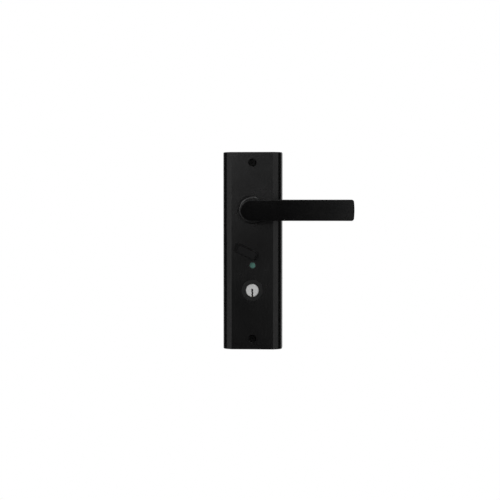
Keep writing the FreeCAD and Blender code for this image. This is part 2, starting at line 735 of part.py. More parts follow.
drive = square_bar(snib_square + 2 * slip_gap, flag_front_y - 1, 0, 0, snib_z)
flag_rear_y = flag_front_y + flag_thickness
flag_start = 270 - snib_travel - flag_half_angle
flag_end = 270 + flag_half_angle
flag = fuse(rod(flag_hub_radius, flag_front_y, flag_rear_y, 0, snib_z),
            sector(flag_hub_radius / 2, flag_outer, flag_start, flag_end, flag_front_y, flag_rear_y, 0, snib_z))
parts["indicator_flag"] = flag.cut(drive)
parts["flag_green"] = sector(flag_inner, flag_outer - flag_margin, 270 - flag_half_angle, flag_end,
                             flag_front_y - flag_paint, flag_front_y, 0, snib_z)
parts["flag_red"] = sector(flag_inner, flag_outer - flag_margin, flag_start, 270 - snib_travel + flag_half_angle,
                           flag_front_y - flag_paint, flag_front_y, 0, snib_z)
parts["flag_spacer"] = rod(spacer_radius, flag_rear_y, cam_front_y, 0, snib_z).cut(drive)

cam = rod(cam_radius, cam_front_y, cam_rear_y, 0, snib_z).cut(drive)
for notch_angle in (0.0, -snib_travel):
    mouth = [polar(cam_radius + 1, notch_angle - 2 * cam_notch_half_width * 3.2, 0, 0, snib_z),
             polar(cam_radius - cam_notch, notch_angle, 0, 0, snib_z),
             polar(cam_radius + 1, notch_angle + 2 * cam_notch_half_width * 3.2, 0, 0, snib_z)]
    cam = cam.cut(prism([(p.x, p.z) for p in mouth], cam_front_y - 1, cam_rear_y + 1))
parts["detent_cam"] = cam

rear_bush = fuse(rod(rear_bush_radius, chassis_front_y, -end_gap, 0, snib_z),
                 rod(rear_bush_flange_radius, chassis_front_y - rear_bush_flange, chassis_front_y, 0, snib_z))
parts["thumb_turn_rear_bush"] = rear_bush.cut(rod(snib_shaft_radius + running_gap, cam_rear_y, 1, 0, snib_z))

bump_x = cam_radius - cam_notch + soft_gap
leaf_line = [(leaf_x, leaf_top), (leaf_x, 3.0), (bump_x, 0.0), (leaf_x, -3.0), (leaf_x, leaf_bottom - leaf_foot_height)]
leaf_back = [(x + leaf_thickness, z) for x, z in reversed(leaf_line)]
leaf = prism([(x, z + snib_z) for x, z in leaf_line + leaf_back], cam_front_y, cam_rear_y)
low_z = snib_z + leaf_bottom
web = block(leaf_x, leaf_x + leaf_thickness, cam_front_y, chassis_front_y, low_z - leaf_foot_height, low_z)
foot = block(leaf_x, leaf_x + leaf_foot_length, chassis_front_y - leaf_thickness, chassis_front_y,
             low_z - leaf_foot_height, low_z)
leaf = fuse(leaf, web, foot)
parts["detent_spring"] = leaf.cut(rod(small_screw_radius, -5, 1, leaf_foot_x, leaf_foot_z))


def small_screw(x, z, seat_y, length):
    """M2.5 pan-head screw."""
    return cross_screw(small_screw_radius, small_head_radius, small_head_height, seat_y, length, x, z)


parts["detent_screw"] = small_screw(leaf_foot_x, leaf_foot_z, chassis_front_y - leaf_thickness,
                                    chassis_thickness + leaf_thickness - end_gap)

# ---------------------------------------------------------------- indicator window
bezel = fuse(rod(bezel_radius, front_y - bezel_proud, inner_front_y, 0, window_z),
             rod(bezel_flange_radius, inner_front_y, inner_front_y + bezel_flange, 0, window_z))
parts["window_bezel"] = bezel.cut(rod(window_radius, front_y - 1, 0, 0, window_z))
lens_y = front_y + lens_setback
lens = rod(window_radius, lens_y, lens_y + lens_thickness, 0, window_z)
parts["window_lens"] = lens.makeFillet(lens_setback, edges_at(lens, lens_y))

# ---------------------------------------------------------------- key cylinder
seat_y = front_y + key_collar_depth
key_collar = rod(key_collar_radius, front_y - key_collar_proud, seat_y, 0, key_z)
key_collar = key_collar.makeChamfer(key_collar_bevel, edges_at(key_collar, front_y - key_collar_proud))
parts["key_collar"] = key_collar.cut(rod(plug_head_radius + running_gap, front_y - 1, 0, 0, key_z))

foot_y = chassis_front_y - foot_thickness
barrel = rod(barrel_radius, seat_y, chassis_front_y, 0, key_z)
bible = block(-bible_half_width, bible_half_width, inner_front_y + end_gap, foot_y, key_z, key_z + bible_height)
foot = block(-foot_half_width, foot_half_width, foot_y, chassis_front_y, key_z - foot_half_height, key_z + foot_half_height)
foot = round_upright(foot, slot_corner)
cylinder = fuse(barrel, bible, foot)
cylinder = cylinder.cut(rod(plug_radius + running_gap, seat_y - 1, 1, 0, key_z))
pin_ys = [pin_first_y + pin_pitch * i for i in range(pin_count)]
chamber_radius = pin_radius + pin_hole_gap
cap_y0, cap_y1 = pin_ys[0] - 2, pin_ys[-1] + 2
cap_z1 = key_z + bible_height
cap_z0 = cap_z1 - cap_thickness
for pin_y in pin_ys:
    chamber = Part.makeCylinder(chamber_radius, bible_height, Vec(0, pin_y, key_z), Vec(0, 0, 1))
    cylinder = cylinder.cut(chamber)
cap = block(-cap_half_width, cap_half_width, cap_y0, cap_y1, cap_z0, cap_z1)
cylinder = cylinder.cut(cap)
for hole_x, hole_z in foot_screws:
    cylinder = cylinder.cut(rod(m3_radius, foot_y - 1, 1, hole_x, hole_z))
parts["cylinder_body"] = cylinder
parts["cylinder_cap"] = cap
parts["cylinder_screws"] = copies(lambda x, z: m3_screw(x, z, foot_y), foot_screws)

plug_front_y = front_y - plug_head_proud
plug_head = rod(plug_head_radius, plug_front_y, seat_y, 0, key_z)
plug_head = plug_head.makeChamfer(plug_head_bevel, edges_at(plug_head, plug_front_y))
plug = fuse(plug_head, rod(plug_radius, seat_y, chassis_front_y, 0, key_z),
            rod(plug_neck_radius, chassis_front_y, plug_neck_reach, 0, key_z))
keyway_low = -plug_head_radius - end_gap
keyway = [(-1.2, 1.9), (1.1, 1.9), (1.1, -0.4), (0.5, -1.2), (1.3, -2.4), (1.3, -3.6), (0.5, -4.6), (1.1, -5.6),
          (1.1, keyway_low), (-0.8, keyway_low), (-0.8, -5.4), (-1.3, -4.6), (-0.6, -3.4), (-0.6, -2.6), (-1.2, -1.4)]
plug = plug.cut(prism([(x, z + key_z) for x, z in keyway], plug_front_y - 1, plug_front_y + keyway_depth))
for pin_y in pin_ys:
    plug = plug.cut(Part.makeCylinder(chamber_radius, plug_radius, Vec(0, pin_y, key_z + 1), Vec(0, 0, 1)))
plug_groove_y = chassis_front_y + side_gap
plug_groove_radius = plug_neck_radius - clip_groove_depth
plug = plug.cut(tube(plug_neck_radius + 1, plug_groove_radius, plug_groove_y, plug_groove_y + clip_thickness, 0, key_z))
tail = block(-tail_width / 2, tail_width / 2, plug_neck_reach - tail_seat, tail_reach,
             key_z - tail_thickness / 2, key_z + tail_thickness / 2)
parts["key_plug"] = plug.cut(tail)
parts["tailpiece"] = tail
parts["plug_clip"] = open_clip(plug_clip_radius, plug_groove_radius, plug_groove_y, clip_thickness,
                               plug_groove_radius, 0, key_z)


def upright_pin(y, z0, z1, point):
    """Vertical pin with a bevelled lower end."""
    pin = Part.makeCylinder(pin_radius, z1 - z0, Vec(0, y, z0), Vec(0, 0, 1))
    lower = [e for e in pin.Edges if abs(e.BoundBox.ZMax - z0) < 1e-6]
    return pin.makeChamfer(point, lower)


def upright_coil(y, z0, z1):
    """Small vertical compression spring."""
    radius = pin_radius - 2 * pin_spring_wire
    steps = pin_spring_turns * 12
    points = [Vec(radius * math.cos(math.radians(30 * i)), y + radius * math.sin(math.radians(30 * i)),
                  z0 + (z1 - z0) * i / steps) for i in range(steps + 1)]
    return wire_rod(points, pin_spring_wire)


key_pin_top = math.sqrt(plug_radius ** 2 - pin_radius ** 2) - shear_gap
driver_bottom = plug_radius + running_gap + shear_gap
driver_top = driver_bottom + driver_length
spring_top = bible_height - cap_thickness - pin_spring_wire - shear_gap
parts["key_pins"] = Part.makeCompound([upright_pin(y, key_z + key_pin_bottom, key_z + key_pin_top, 0.5) for y in pin_ys])
parts["driver_pins"] = Part.makeCompound([upright_pin(y, key_z + driver_bottom, key_z + driver_top, 0.2) for y in pin_ys])
parts["pin_springs"] = Part.makeCompound([
    upright_coil(y, key_z + driver_top + pin_spring_wire + shear_gap, key_z + spring_top) for y in pin_ys])

# ---------------------------------------------------------------- circuit board
board_rear_y = board_front_y + board_thickness
board = block(-board_half_width, board_half_width, board_front_y, board_rear_y, board_bottom_z, board_top_z)
board = round_upright(board, board_corner)
board = board.cut(rod(driver_hole_radius, board_front_y - 1, 0, 0, bolt_top_z))
board = board.cut(rod(pillar_radius + 1, board_front_y - 1, 0, 0, cover_screw_zs[0]))
for hole_x, hole_z in standoffs:
    board = board.cut(rod(small_screw_radius, board_front_y - 1, 0, hole_x, hole_z))
parts["circuit_board"] = board


def standoff(x, z):
    """Post between the chassis and the board."""
    post = rod(standoff_radius, board_rear_y, chassis_front_y, x, z)
    spigot = rod(small_screw_radius, chassis_front_y, -end_gap, x, z)
    bore = rod(small_screw_radius, board_rear_y - 1, board_rear_y + small_screw_grip + end_gap, x, z)
    return fuse(post, spigot).cut(bore)


parts["board_standoffs"] = copies(standoff, standoffs)
parts["board_screws"] = copies(lambda x, z: small_screw(x, z, board_front_y, board_thickness + small_screw_grip), standoffs)


def on_board(x0, x1, z0, z1, height):
    """Rectangular component on the front of the board."""
    return block(x0, x1, board_front_y - height, board_front_y, z0, z1)


parts["controller_chip"] = on_board(-20, -10, 44, 54, 1.2)
parts["radio_module"] = on_board(6.5, 21.5, 47, 60, 2.6)
buzzer_body = rod(6, board_front_y - 6, board_front_y, 15, 38.5)
parts["buzzer"] = buzzer_body.cut(rod(1, board_front_y - 7, board_front_y - 5, 15, 38.5))
cable_socket = on_board(-21, -9, 26.5, 32.5, 6)
parts["cable_socket"] = cable_socket.cut(block(-20, -10, board_front_y - 5, board_front_y - 1, 25.5, 31.5))
parts["power_socket"] = on_board(12, 20, 25.5, 31.5, 5)
parts["hall_sensor"] = on_board(-2, 2, 25.2, 27.2, 1.2)
parts["capacitor"] = rod(2.5, board_front_y - 5.5, board_front_y, -15, 38)
key_base = on_board(-20, -14, 56.5, 62, 2)
parts["pairing_button"] = fuse(key_base, rod(1.6, board_front_y - 3, board_front_y - 1, -17, 59.2))

# ---------------------------------------------------------------- batteries
tray_rear_y = chassis_front_y
tray_floor_y = tray_rear_y - tray_floor
cell_y = tray_floor_y - cell_radius - cell_gap
x_in = cell_xs[0] - cell_radius - cell_gap
x_out = cell_xs[1] + cell_radius + cell_gap
tray = None
for side in (-1, 1):
    xs = sorted((side * (x_in - tray_side), side * (x_out + tray_side)))
    ins = sorted((side * x_in, side * x_out))
    half = block(xs[0], xs[1], tray_lip_y, tray_rear_y, tray_bottom_z, tray_top_z)
    half = half.cut(block(ins[0], ins[1], tray_lip_y - 1, tray_floor_y, tray_bottom_z + tray_wall, tray_top_z - tray_wall))
    ear = rod(tray_ear_radius, tray_floor_y - 1, tray_rear_y, side * tray_screw_x, tray_screws[0][1])
    half = half.fuse(ear)
    tray = half if tray is None else tray.fuse(half)
bridge_half = x_in - tray_side + 1
bridge = block(-bridge_half, bridge_half, tray_floor_y - 1, tray_rear_y, tray_top_z - 4, tray_top_z)
tray = fuse(tray, bridge)
for hole_x, hole_z in tray_screws:
    tray = tray.cut(rod(m3_radius, tray_floor_y - 2, 1, hole_x, hole_z))
    tray = tray.cut(rod(m3_head_radius + side_gap, tray_lip_y - 1, tray_floor_y - 1, hole_x, hole_z))
parts["battery_tray"] = tray
parts["tray_screws"] = copies(lambda x, z: m3_screw(x, z, tray_floor_y - 1), tray_screws)


def contact_tab(x, y, base_z, end_z, up):
    """Springy tongue from a contact plate to the flat end of a cell."""
    low, high = y - contact_half_width, y + tab_tip
    rise = up * contact_thickness
    line = [(low, base_z - rise / 2), (low + 2 * contact_thickness, base_z - rise / 2), (high, end_z - rise),
            (high + tab_flat, end_z - rise), (high + tab_flat, end_z), (high, end_z)]
    corners = [Vec(x - tab_half_width, cy, cz) for cy, cz in line]
    face = Part.Face(Part.makePolygon(corners + corners[:1]))
    return face.extrude(Vec(2 * tab_half_width, 0, 0))


cells = []
plates = []
tabs = []
inner_low_z = tray_bottom_z + tray_wall
inner_high_z = tray_top_z - tray_wall
for x in [side * cell_x for side in (-1, 1) for cell_x in cell_xs]:
    up = 1 if x in (-cell_xs[0], cell_xs[1]) else -1
    plus_z = inner_high_z if up > 0 else inner_low_z
    minus_z = inner_low_z if up > 0 else inner_high_z
    direction = Vec(0, 0, up)
    nub_z = plus_z - up * contact_thickness
    can_top_z = nub_z - up * cell_nub
    can = Part.makeCylinder(cell_radius, cell_length, Vec(x, cell_y, can_top_z), -direction)
    nub = Part.makeCylinder(cell_nub_radius, cell_nub + 1, Vec(x, cell_y, nub_z), -direction)
    cells.append(fuse(can, nub))
    plate_z = sorted((plus_z, nub_z))
    plates.append(block(x - contact_half_width, x + contact_half_width, cell_y - contact_half_width,
                        cell_y + contact_half_width, plate_z[0], plate_z[1]))
    base_z = minus_z + up * contact_thickness
    end_z = can_top_z - up * cell_length
    plate_z = sorted((minus_z, base_z))
    plates.append(block(x - contact_half_width, x + contact_half_width, cell_y - contact_half_width,
                        cell_y + contact_half_width, plate_z[0], plate_z[1]))
    tabs.append(contact_tab(x, cell_y, base_z, end_z, up))
parts["batteries"] = Part.makeCompound(cells)
parts["battery_contacts"] = Part.makeCompound([plate.fuse(tab) for plate, tab in zip(plates[1::2], tabs)] + plates[::2])
parts["foam_pads"] = Part.makeCompound([
    block(x0, x1, inner_front_y, cell_y - cell_radius, pad_z0, pad_z1) for x0, x1 in ((-pad_x1, -pad_x0), (pad_x0, pad_x1))])


def battery_lead(x, end_x):
    """Insulated wire from the tray up the side to the power socket."""
    end_y = board_front_y - 2.5
    points = [Vec(x, lead_y, tray_top_z + lead_radius), Vec(x, lead_y, tray_top_z + 20), Vec(x, lead_y, -40),
              Vec(x, lead_y, 0), Vec(x - 0.5, lead_y - 1.5, 10), Vec((x + end_x) / 2, end_y + 1, 19),
              Vec(end_x, end_y, 25.5)]
    return wire_rod(points, lead_radius)


parts["lead_red"] = battery_lead(lead_xs[0], 14.5)
parts["lead_black"] = battery_lead(lead_xs[1], 17.5)

os.makedirs("parts", exist_ok=True)
for name, shape in parts.items():
    shape.exportStep(os.path.join("parts", name + ".step"))
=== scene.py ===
import json
import math

import bpy
import numpy as np
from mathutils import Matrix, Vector


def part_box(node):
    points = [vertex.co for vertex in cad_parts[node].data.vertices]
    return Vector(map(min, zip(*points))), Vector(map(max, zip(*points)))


# Looks of the keypad lock's inside half: finishes, lamps, reflection cards and camera. Metres.

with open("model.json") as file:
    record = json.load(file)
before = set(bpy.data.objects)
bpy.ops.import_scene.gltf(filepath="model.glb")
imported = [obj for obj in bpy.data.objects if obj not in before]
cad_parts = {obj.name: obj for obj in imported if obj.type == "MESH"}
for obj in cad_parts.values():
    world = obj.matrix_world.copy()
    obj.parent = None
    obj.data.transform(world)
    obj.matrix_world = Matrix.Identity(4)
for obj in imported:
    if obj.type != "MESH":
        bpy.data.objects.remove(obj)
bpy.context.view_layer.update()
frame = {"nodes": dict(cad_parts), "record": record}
scene = bpy.context.scene

cover_low, cover_high = [np.array(corner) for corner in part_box("cover")]
cover_front_y = cover_low[1]
cover_top_z = cover_high[2]

# ---------------------------------------------------------------- camera and stage sizes
camera_distance = 1.35
camera_azimuth = 3.2      # degrees to the object's right
camera_elevation = 2.2
camera_lens = 83.6
camera_sensor = 36.0
target = Vector((-0.0027, cover_front_y, cover_top_z - 0.1138))

card_radius = 1.7
card_columns, card_rows = 32, 16
card_grey = 0.02
front_card_half = 43.0    # degrees each side of the view
left_card_start, left_card_end = 56.5, 128.0
right_card_start, right_card_end = 52.0, 116.0
card_low = -90.0          # degrees of elevation
card_high = 31.0
ceiling_low = 42.0
glow_radius = 1.6         # in front of the dark cards
glow_start, glow_end = 7.0, 16.0
glow_low, glow_high = -16.0, 10.0
glow_level = 1.6

thread_pitch = 0.0008     # of the through bolts
thread_depth = 0.0004
thread_start = 0.001       # past the door face
thread_run_in = 0.0002
wave_turns = 20.0 / (2.0 * math.pi)    # bands per metre of a Wave texture at scale 1


# ---------------------------------------------------------------- node helpers
def node(tree, kind, inputs=None, **settings):
    """New node with its settings, and inputs given by name or number: values, or sockets to link."""
    made = tree.nodes.new(kind)
    for name, value in settings.items():
        setattr(made, name, value)
    for name, value in (inputs or {}).items():
        if isinstance(value, bpy.types.NodeSocket):
            tree.links.new(value, made.inputs[name])
        else:
            made.inputs[name].default_value = value
    return made


def maths(tree, operation, first, second=0.5, clamp=False):
    """Output of a Math node."""
    made = node(tree, "ShaderNodeMath", {0: first, 1: second}, operation=operation, use_clamp=clamp)
    return made.outputs[0]


def span(tree, value, low, high, to_low=0.0, to_high=1.0):
    """Value carried from one range to another, clamped."""
    inputs = {"Value": value, "From Min": low, "From Max": high, "To Min": to_low, "To Max": to_high}
    return node(tree, "ShaderNodeMapRange", inputs).outputs[0]


def blend_colour(tree, factor, first, second):
    """Output of a colour Mix node."""
    mixer = node(tree, "ShaderNodeMix", data_type="RGBA")
    for socket, value in ((mixer.inputs[0], factor), (mixer.inputs[6], first), (mixer.inputs[7], second)):
        if isinstance(value, bpy.types.NodeSocket):
            tree.links.new(value, socket)
        else:
            socket.default_value = value
    return mixer.outputs[2]


def place(tree, scale=(1.0, 1.0, 1.0)):
    """Object coordinates through a Mapping node."""
    coords = node(tree, "ShaderNodeTexCoord")
    return node(tree, "ShaderNodeMapping", {"Vector": coords.outputs["Object"], "Scale": scale}).outputs[0]


def noise(tree, vector, scale, detail=3.0, rough=0.55):
    """Noise value."""
    inputs = {"Vector": vector, "Scale": scale, "Detail": detail, "Roughness": rough}
    return node(tree, "ShaderNodeTexNoise", inputs).outputs[0]


def group(name, inputs, outputs):
    """Empty shader node group, with its input and output nodes."""
    made = bpy.data.node_groups.new(name, "ShaderNodeTree")
    for label, kind, value in inputs:
        socket = made.interface.new_socket(label, in_out="INPUT", socket_type=kind)
        if value is not None:
            socket.default_value = value
    for label, kind in outputs:
        made.interface.new_socket(label, in_out="OUTPUT", socket_type=kind)
    return made, made.nodes.new("NodeGroupInput"), made.nodes.new("NodeGroupOutput")


def use(tree, made, inputs):
    """Output sockets holder: a group node with its inputs set or linked."""
    used = tree.nodes.new("ShaderNodeGroup")
    used.node_tree = made
    for name, value in inputs.items():
        if isinstance(value, bpy.types.NodeSocket):
            tree.links.new(value, used.inputs[name])
        else:
            used.inputs[name].default_value = value
    return used


# ---------------------------------------------------------------- shared effects
def edge_group():
    """Mask of the worn line along sharp edges: how far a rounded normal leans from the true one."""
    inputs = [("Radius", "NodeSocketFloat", 0.0004), ("Vector", "NodeSocketVector", None)]
    made, into, out = group("edge_line", inputs, [("Mask", "NodeSocketFloat")])
    rounded = node(made, "ShaderNodeBevel", {"Radius": into.outputs["Radius"]}, samples=6)
    true = node(made, "ShaderNodeNewGeometry")
    normals = {0: rounded.outputs[0], 1: true.outputs["Normal"]}
    dot = node(made, "ShaderNodeVectorMath", normals, operation="DOT_PRODUCT")
    lean = span(made, maths(made, "SUBTRACT", 1.0, dot.outputs["Value"]), 0.01, 0.18)
    broken = span(made, noise(made, into.outputs["Vector"], 260.0), 0.38, 0.62)
    made.links.new(maths(made, "MULTIPLY", lean, broken), out.inputs["Mask"])
    return made


def grain_group():
    """Normal of a fine surface grain, and the grain's value."""
    inputs = [("Vector", "NodeSocketVector", None), ("Scale", "NodeSocketFloat", 900.0),
              ("Strength", "NodeSocketFloat", 0.1), ("Depth", "NodeSocketFloat", 0.0002)]
    outputs = [("Normal", "NodeSocketVector"), ("Value", "NodeSocketFloat")]
    made, into, out = group("fine_grain", inputs, outputs)
    value = noise(made, into.outputs["Vector"], into.outputs["Scale"], 4.0)
    relief = {"Strength": into.outputs["Strength"], "Distance": into.outputs["Depth"], "Height": value}
    bump = node(made, "ShaderNodeBump", relief)
    made.links.new(bump.outputs[0], out.inputs["Normal"])
    made.links.new(value, out.inputs["Value"])
    return made


def dust_group():
    """Mask of fine dust on surfaces that face up, in soft patches."""
    inputs = [("Vector", "NodeSocketVector", None)]
    made, into, out = group("settled_dust", inputs, [("Mask", "NodeSocketFloat")])
    true = node(made, "ShaderNodeNewGeometry")
    up = span(made, node(made, "ShaderNodeSeparateXYZ", {0: true.outputs["Normal"]}).outputs[2], 0.35, 1.0)
    patches = span(made, noise(made, into.outputs["Vector"], 45.0, 6.0), 0.4, 0.75)
    made.links.new(maths(made, "MULTIPLY", up, patches), out.inputs["Mask"])
    return made


def recess_group():
    """Mask of painted shade in slots, threads and corners: ambient occlusion marks where close walls crowd
    the surface.
    """
    inputs = [("Reach", "NodeSocketFloat", 0.002)]
    made, into, out = group("painted_recess_shade", inputs, [("Mask", "NodeSocketFloat")])
    closed = node(made, "ShaderNodeAmbientOcclusion", {"Distance": into.outputs["Reach"]}, samples=8)
    made.links.new(span(made, closed.outputs["AO"], 0.85, 0.25), out.inputs["Mask"])
    return made


edge_line = edge_group()
painted_recess_shade = recess_group()
fine_grain = grain_group()
settled_dust = dust_group()


def rgba(colour):
    """Colour with full alpha."""
    return (*colour, 1.0)


def material(name):
    """New material: its tree and its Principled node."""
    made = bpy.data.materials.new(name)
    made.use_nodes = True
    return made, made.node_tree, made.node_tree.nodes["Principled BSDF"]


def finish_material(tree, shader, colour, rough, normal):
    """Links colour, roughness and normal to the shader."""
    tree.links.new(colour, shader.inputs["Base Color"])
    tree.links.new(rough, shader.inputs["Roughness"])
    tree.links.new(normal, shader.inputs["Normal"])


# ---------------------------------------------------------------- finishes
def paint(name, colour, rough, wear=(0.018, 0.018, 0.019), specular=0.5, grain=1400.0, strength=0.12):
    """Satin powder coat: fine peel, soft changes of sheen, thin wear along edges and a trace of dust."""
    made, tree, shader = material(name)
    where = place(tree)
    peel = use(tree, fine_grain, {"Vector": where, "Scale": grain, "Strength": strength, "Depth": 0.0001})
    edges = use(tree, edge_line, {"Vector": where, "Radius": 0.0004})
    dust = use(tree, settled_dust, {"Vector": where})
    patches = span(tree, noise(tree, where, 30.0), 0.3, 0.7)
    tone = blend_colour(tree, patches, rgba([c * 0.85 for c in colour]), rgba([c * 1.15 for c in colour]))
    worn = blend_colour(tree, maths(tree, "MULTIPLY", edges.outputs[0], 0.35), tone, rgba(wear))
    film = maths(tree, "MULTIPLY", dust.outputs[0], 0.012)
    dusty = blend_colour(tree, film, worn, rgba((0.30, 0.29, 0.27)))
    sheen = span(tree, noise(tree, where, 22.0, 5.0), 0.3, 0.7, rough - 0.03, rough + 0.03)
    shader.inputs["Specular IOR Level"].default_value = specular
    finish_material(tree, shader, dusty, sheen, peel.outputs[0])
    return made


def metal(name, colour, rough, along=(1.0, 1.0, 1.0), metallic=1.0, strength=0.08, threads=False):
    """Metal: drawn grain, cloudy sheen, brighter edges, painted shade in recesses; threads add grooves past
    the door face.
    """
    made, tree, shader = material(name)
    where = place(tree, along)
    plain = place(tree)
    drawn = use(tree, fine_grain, {"Vector": where, "Scale": 700.0, "Strength": strength, "Depth": 0.0002})
    edges = use(tree, edge_line, {"Vector": plain, "Radius": 0.0003})
    clouds = span(tree, noise(tree, plain, 55.0, 5.0), 0.3, 0.7)
    tone = blend_colour(tree, clouds, rgba([c * 0.86 for c in colour]), rgba(colour))
    edge_colour = rgba([min(1, c * 1.25) for c in colour])
    bright = blend_colour(tree, maths(tree, "MULTIPLY", edges.outputs[0], 0.5), tone, edge_colour)
    # Painted shade: colour taken nearly to black where ambient occlusion finds slots, threads and corners.
    shade_in_recess = use(tree, painted_recess_shade, {"Reach": 0.002})
    painted_shade_colour = rgba([c * 0.03 for c in colour])
    recess_shaded = blend_colour(tree, maths(tree, "MULTIPLY", shade_in_recess.outputs[0], 0.92), bright, painted_shade_colour)
    sheen = maths(tree, "ADD", span(tree, drawn.outputs[1], 0.3, 0.7, -0.05, 0.05),
                  span(tree, clouds, 0.0, 1.0, rough + 0.05, rough - 0.04))
    normal = drawn.outputs[0]
    if threads:
        bands = {"Vector": plain, "Scale": 1.0 / (wave_turns * thread_pitch)}
        grooves = node(tree, "ShaderNodeTexWave", bands, bands_direction="Y").outputs[1]
        depth = node(tree, "ShaderNodeSeparateXYZ", {0: plain}).outputs[1]
        past_door = span(tree, depth, thread_start, thread_start + thread_run_in)
        height = maths(tree, "MULTIPLY", grooves, past_door)
        relief = {"Strength": 0.7, "Distance": thread_depth, "Height": height, "Normal": normal}
        normal = node(tree, "ShaderNodeBump", relief).outputs[0]
    shader.inputs["Metallic"].default_value = metallic
    finish_material(tree, shader, recess_shaded, sheen, normal)
    return made


def moulded(name, colour, rough, grain=900.0, strength=0.2, contrast=0.12):
    """Moulded plastic, rubber or foam: fine texture, faint colour variation, settled dust and painted shade
    in recesses.
    """
    made, tree, shader = material(name)
    where = place(tree)
    texture = use(tree, fine_grain, {"Vector": where, "Scale": grain, "Strength": strength, "Depth": 0.0003})
    dust = use(tree, settled_dust, {"Vector": where})
    patches = span(tree, noise(tree, where, 120.0), 0.3, 0.7)
    darker = rgba([c * (1 - contrast) for c in colour])
    lighter = rgba([min(1, c * (1 + contrast)) for c in colour])
    tone = blend_colour(tree, patches, darker, lighter)
    dusty = blend_colour(tree, maths(tree, "MULTIPLY", dust.outputs[0], 0.06), tone, rgba((0.35, 0.34, 0.32)))
    # Painted shade: colour darkened where ambient occlusion finds slots and corners.
    shade_in_recess = use(tree, painted_recess_shade, {"Reach": 0.0015})
    shade_amount = maths(tree, "MULTIPLY", shade_in_recess.outputs[0], 0.35)
    recess_shaded = blend_colour(tree, shade_amount, dusty, rgba([c * 0.2 for c in colour]))
    sheen = span(tree, texture.outputs[1], 0.3, 0.7, rough - 0.06, rough + 0.06)
    finish_material(tree, shader, recess_shaded, sheen, texture.outputs[0])
    return made


def circuit(name):
    """Solder mask over copper runs: a fine grid of tracks under glossy green."""
    made, tree, shader = material(name)
    where = place(tree)
    grid = {"Vector": where, "Scale": 260.0, "Mortar Size": 0.06, "Color1": rgba((0.03, 0.17, 0.08)),
            "Color2": rgba((0.025, 0.14, 0.07)), "Mortar": rgba((0.06, 0.27, 0.13))}
    tracks = node(tree, "ShaderNodeTexBrick", grid)
    grain = use(tree, fine_grain, {"Vector": where, "Scale": 1200.0, "Strength": 0.06, "Depth": 0.0001})
    sheen = span(tree, grain.outputs[1], 0.3, 0.7, 0.24, 0.36)
    finish_material(tree, shader, tracks.outputs["Color"], sheen, grain.outputs[0])
    return made


def cell_wrap(name):
    """Printed cell sleeve: dark body, pale band and bare ends, split along the cell."""
    made, tree, shader = material(name)
    where = place(tree)
    low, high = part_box("batteries")
    height = node(tree, "ShaderNodeSeparateXYZ", {0: where}).outputs[2]
    band = span(tree, height, high[2] - 0.0125, high[2] - 0.0124)
    tip = span(tree, height, high[2] - 0.0012, high[2] - 0.0011)
    base = span(tree, height, low[2] + 0.0012, low[2] + 0.0011)
    sleeve = blend_colour(tree, band, rgba((0.03, 0.06, 0.14)), rgba((0.55, 0.50, 0.38)))
    bare = blend_colour(tree, maths(tree, "ADD", tip, base, True), sleeve, rgba((0.6, 0.6, 0.6)))
    grain = use(tree, fine_grain, {"Vector": where, "Scale": 300.0, "Strength": 0.05, "Depth": 0.0001})
    sheen = span(tree, grain.outputs[1], 0.3, 0.7, 0.22, 0.32)
    shader.inputs["Metallic"].default_value = 0.4
    finish_material(tree, shader, bare, sheen, grain.outputs[0])
    return made


def window(name):
    """Clear lens with a faint haze, so that the flag behind it gives the colour."""
    made, tree, shader = material(name)
    where = place(tree)
    grain = use(tree, fine_grain, {"Vector": where, "Scale": 500.0, "Strength": 0.08, "Depth": 0.0002})
    haze = span(tree, noise(tree, where, 200.0), 0.35, 0.65)
    tone = blend_colour(tree, haze, rgba((0.05, 0.05, 0.05)), rgba((0.09, 0.09, 0.09)))
    sheen = span(tree, grain.outputs[1], 0.3, 0.7, 0.12, 0.22)
    shader.inputs["Alpha"].default_value = 0.25
    finish_material(tree, shader, tone, sheen, grain.outputs[0])
    return made


